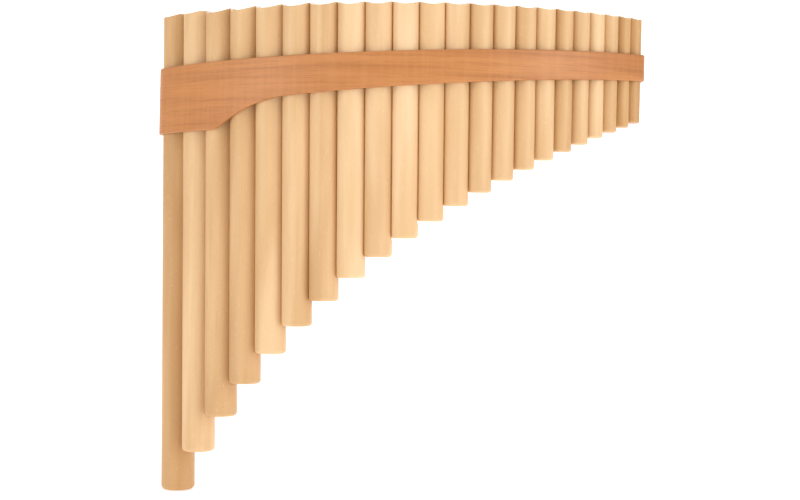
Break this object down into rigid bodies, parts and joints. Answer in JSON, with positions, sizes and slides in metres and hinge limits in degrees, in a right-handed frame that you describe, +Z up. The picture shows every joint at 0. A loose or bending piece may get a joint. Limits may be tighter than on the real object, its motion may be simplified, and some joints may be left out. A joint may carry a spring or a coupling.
{
  "type": "pan flute",
  "caption": "Curved alto pan flute: a row of glued, stopped wooden pipes in falling length, held by a front and a rear wooden band, with cork and wax stoppers inside.",
  "frame": {"origin": "on the plane that the longest pipe's foot reaches, under the middle of the instrument's width and depth", "axes": "+Z up out of the mouths, -Y towards the listener on the convex side, +Y towards the player, +X from the bass end to the treble end"},
  "size_m": [0.2514, 0.0632, 0.2478],
  "materials": {
    "pipe_wood": "pale straight-grained fruitwood or maple, oiled, satin",
    "band_wood": "reddish-brown fruitwood with its grain along the band, satin varnish",
    "cork": "agglomerated cork, matte",
    "wax": "beeswax, smooth and slightly glossy"
  },
  "bodies": {
    "root": {"pipe_01": "pipe_wood", "pipe_02": "pipe_wood", "pipe_03": "pipe_wood", "pipe_04": "pipe_wood", "pipe_05": "pipe_wood", "pipe_06": "pipe_wood", "pipe_07": "pipe_wood", "pipe_08": "pipe_wood", "pipe_09": "pipe_wood", "pipe_10": "pipe_wood", "pipe_11": "pipe_wood", "pipe_12": "pipe_wood", "pipe_13": "pipe_wood", "pipe_14": "pipe_wood", "pipe_15": "pipe_wood", "pipe_16": "pipe_wood", "pipe_17": "pipe_wood", "pipe_18": "pipe_wood", "pipe_19": "pipe_wood", "pipe_20": "pipe_wood", "pipe_21": "pipe_wood", "pipe_22": "pipe_wood", "stopper_01": "cork", "stopper_02": "cork", "stopper_03": "cork", "stopper_04": "cork", "stopper_05": "cork", "stopper_06": "cork", "stopper_07": "cork", "stopper_08": "cork", "stopper_09": "cork", "stopper_10": "cork", "stopper_11": "cork", "stopper_12": "cork", "stopper_13": "cork", "stopper_14": "cork", "stopper_15": "cork", "stopper_16": "cork", "stopper_17": "cork", "stopper_18": "cork", "stopper_19": "cork", "stopper_20": "cork", "stopper_21": "cork", "stopper_22": "cork", "tuning_wax": "wax", "front_band": "band_wood", "rear_band": "band_wood"}
  },
  "joints": []
}
